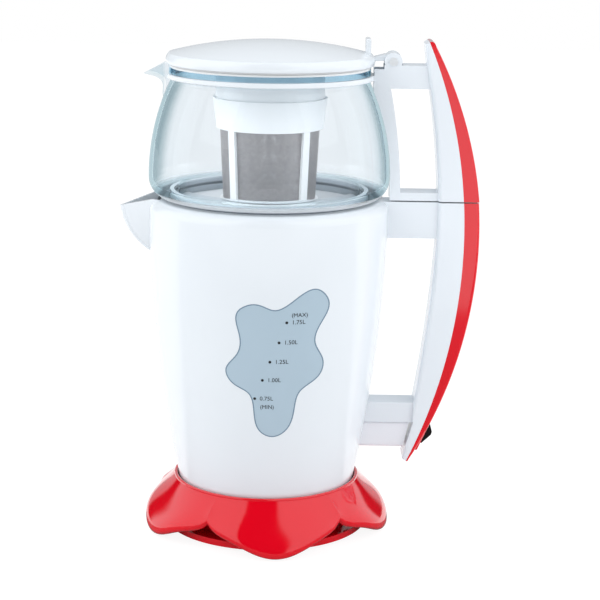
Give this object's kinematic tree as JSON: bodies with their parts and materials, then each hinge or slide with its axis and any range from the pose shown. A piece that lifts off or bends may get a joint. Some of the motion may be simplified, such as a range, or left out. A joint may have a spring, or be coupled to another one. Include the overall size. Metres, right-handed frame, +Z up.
{
  "type": "electric tea maker with glass teapot",
  "caption": "Electric tea maker: a glass teapot with lid and infuser stands in the mouth of a jug kettle, on a cordless petal-shaped base",
  "frame": {"origin": "middle of the base's foot, on the table", "axes": "+Z up, handles towards +X, spouts towards -X, front with the level window towards -Y"},
  "size_m": [0.2561, 0.1758, 0.3554],
  "materials": {
    "white_plastic": "glossy moulded white plastic",
    "red_plastic": "glossy clear red plastic",
    "black_plastic": "satin black plastic",
    "clear_glass": "clear glass with a faint teal edge",
    "gauge_plastic": "clear grey-blue level window",
    "steel": "brushed stainless steel",
    "brass": "plain contact brass",
    "rubber": "soft dark rubber",
    "silicone": "pale silicone seal"
  },
  "bodies": {
    "base": {"base_skirt": "red_plastic", "base_pan": "red_plastic", "base_screws": "steel", "base_foot": "rubber", "cord_outlet": "black_plastic", "base_connector": "black_plastic", "connector_contacts": "brass"},
    "coupler": {"kettle_coupler": "black_plastic", "coupler_contacts": "brass"},
    "kettle": {"kettle_shell": "white_plastic", "kettle_spout": "white_plastic", "gauge_window": "gauge_plastic", "kettle_base_housing": "white_plastic", "seat_ring": "steel", "heating_plate": "steel", "plate_seal": "silicone", "heating_element": "steel", "thermostat": "black_plastic", "kettle_handle": "white_plastic", "kettle_handle_cover": "red_plastic", "switch_box": "white_plastic", "switch_bezel": "red_plastic", "switch_body": "black_plastic", "kettle_handle_screws": "steel"},
    "rocker": {"switch_rocker": "black_plastic"},
    "teapot": {"pot_glass": "clear_glass", "pot_collar": "white_plastic", "pot_handle": "white_plastic", "pot_handle_cover": "red_plastic", "hinge_pin": "steel", "infuser_rim": "white_plastic", "infuser_frame": "white_plastic", "infuser_mesh": "steel", "infuser_floor": "steel"},
    "lid": {"lid_cap": "white_plastic", "lid_rim": "white_plastic", "lid_gasket": "silicone"}
  },
  "joints": [
    {"name": "kettle_lift", "type": "slide", "parent": "base", "child": "coupler", "axis": [0, 0, 1], "range_m": [0, 0.12]},
    {"name": "kettle_turn", "type": "hinge", "parent": "coupler", "child": "kettle", "pos_m": [0, 0, 0.03], "axis": [0, 0, 1], "continuous": true},
    {"name": "switch_rock", "type": "hinge", "parent": "kettle", "child": "rocker", "pos_m": [0.11316, 0, 0.07161], "axis": [0, 1, 0], "range_deg": [0, 16]},
    {"name": "teapot_lift", "type": "slide", "parent": "kettle", "child": "teapot", "axis": [0, 0, 1], "range_m": [0, 0.12]},
    {"name": "lid_hinge", "type": "hinge", "parent": "teapot", "child": "lid", "pos_m": [0.0857, 0, 0.34], "axis": [0, 1, 0], "range_deg": [0, 95]}
  ]
}
